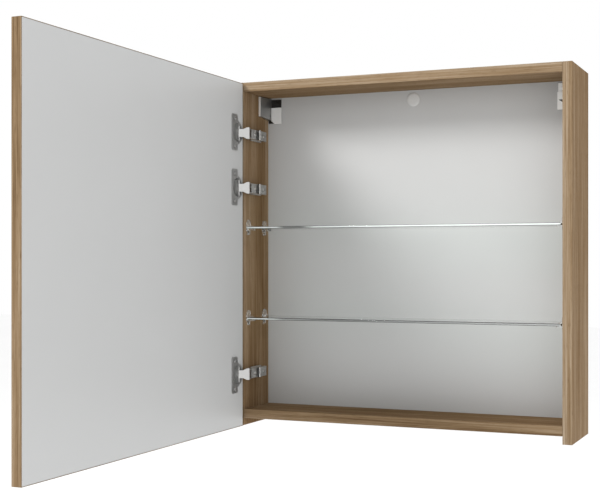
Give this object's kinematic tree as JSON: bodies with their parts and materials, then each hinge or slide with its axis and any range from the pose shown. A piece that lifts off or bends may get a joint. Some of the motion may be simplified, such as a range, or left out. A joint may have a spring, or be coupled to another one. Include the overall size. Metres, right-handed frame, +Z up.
{
  "type": "medicine cabinet with mirror",
  "caption": "Wall-hung bathroom cabinet: wood-decor carcass, one mirror door on concealed cup hinges, glass shelves on clear supports, hidden wall hangers.",
  "frame": {"origin": "on the wall plane (rear edges of the side panels), centred on the width, at the height of the two hanging hooks", "axes": "+Z up, +Y into the wall, the cabinet faces -Y, +X to its right as seen from the room"},
  "size_m": [0.6024, 0.7321, 0.606],
  "materials": {
    "oak_decor": "oak decor foil, satin, fine straight grain",
    "door_laminate": "particle board, light grey laminate inside, wood-decor edge band",
    "back_laminate": "thin fibreboard, glossy light lacquer",
    "mirror_glass": "silvered float glass, ground edge",
    "clear_glass": "clear float glass, polished edge",
    "clear_plastic": "clear moulded plastic",
    "nickel_plate": "nickel-plated pressed and die-cast metal",
    "zinc_screw": "zinc-plated steel",
    "zinc_steel": "zinc-plated pressed steel",
    "light_plastic": "light grey moulded plastic"
  },
  "bodies": {
    "carcass": {"back_panel": "back_laminate", "bottom_board": "oak_decor", "cable_hole_plug": "back_laminate", "hanger_body_left": "zinc_steel", "hanger_body_right": "zinc_steel", "hanger_cover_left": "light_plastic", "hanger_cover_right": "light_plastic", "hanger_hook_left": "zinc_steel", "hanger_hook_right": "zinc_steel", "hanger_screw_left": "zinc_screw", "hanger_screw_right": "zinc_screw", "hinge_arm_bottom": "nickel_plate", "hinge_arm_middle": "nickel_plate", "hinge_arm_top": "nickel_plate", "hinge_fixing_screw_bottom": "zinc_screw", "hinge_fixing_screw_middle": "zinc_screw", "hinge_fixing_screw_top": "zinc_screw", "hinge_plate_bottom": "nickel_plate", "hinge_plate_middle": "nickel_plate", "hinge_plate_top": "nickel_plate", "hinge_side_screw_bottom": "zinc_screw", "hinge_side_screw_middle": "zinc_screw", "hinge_side_screw_top": "zinc_screw", "lower_glass_shelf": "clear_glass", "shelf_support_lower_left_front": "clear_plastic", "shelf_support_lower_left_rear": "clear_plastic", "shelf_support_lower_right_front": "clear_plastic", "shelf_support_lower_right_rear": "clear_plastic", "shelf_support_upper_left_front": "clear_plastic", "shelf_support_upper_left_rear": "clear_plastic", "shelf_support_upper_right_front": "clear_plastic", "shelf_support_upper_right_rear": "clear_plastic", "side_panel_left": "oak_decor", "side_panel_right": "oak_decor", "top_board": "oak_decor", "upper_glass_shelf": "clear_glass"},
    "hinge_links": {"hinge_link_bottom": "nickel_plate", "hinge_link_middle": "nickel_plate", "hinge_link_top": "nickel_plate"},
    "rear_links": {"hinge_rear_link_bottom": "nickel_plate", "hinge_rear_link_middle": "nickel_plate", "hinge_rear_link_top": "nickel_plate"},
    "door": {"cup_screw_bottom_lower": "zinc_screw", "cup_screw_bottom_upper": "zinc_screw", "cup_screw_middle_lower": "zinc_screw", "cup_screw_middle_upper": "zinc_screw", "cup_screw_top_lower": "zinc_screw", "cup_screw_top_upper": "zinc_screw", "door_panel": "door_laminate", "hinge_cup_bottom": "nickel_plate", "hinge_cup_middle": "nickel_plate", "hinge_cup_top": "nickel_plate", "mirror": "mirror_glass"}
  },
  "joints": [
    {"name": "door_swing", "type": "hinge", "parent": "hinge_links", "child": "door", "pos_m": [-0.2845, -0.1461, -0.26], "axis": [0, 0, 1], "range_deg": [-20, 135.5]},
    {"name": "link_swing", "type": "hinge", "parent": "carcass", "child": "hinge_links", "pos_m": [-0.2706, -0.1368, -0.26], "axis": [0, 0, 1], "range_deg": [-45.6, 6.8]},
    {"name": "rear_link_swing", "type": "hinge", "parent": "carcass", "child": "rear_links", "pos_m": [-0.2759, -0.1326, -0.26], "axis": [0, 0, 1], "range_deg": [-43.4, 6.5]}
  ],
  "couplings": [
    {"joint": "link_swing", "follows": "door_swing", "ratio": -0.33578},
    {"joint": "rear_link_swing", "follows": "door_swing", "ratio": -0.31883}
  ]
}
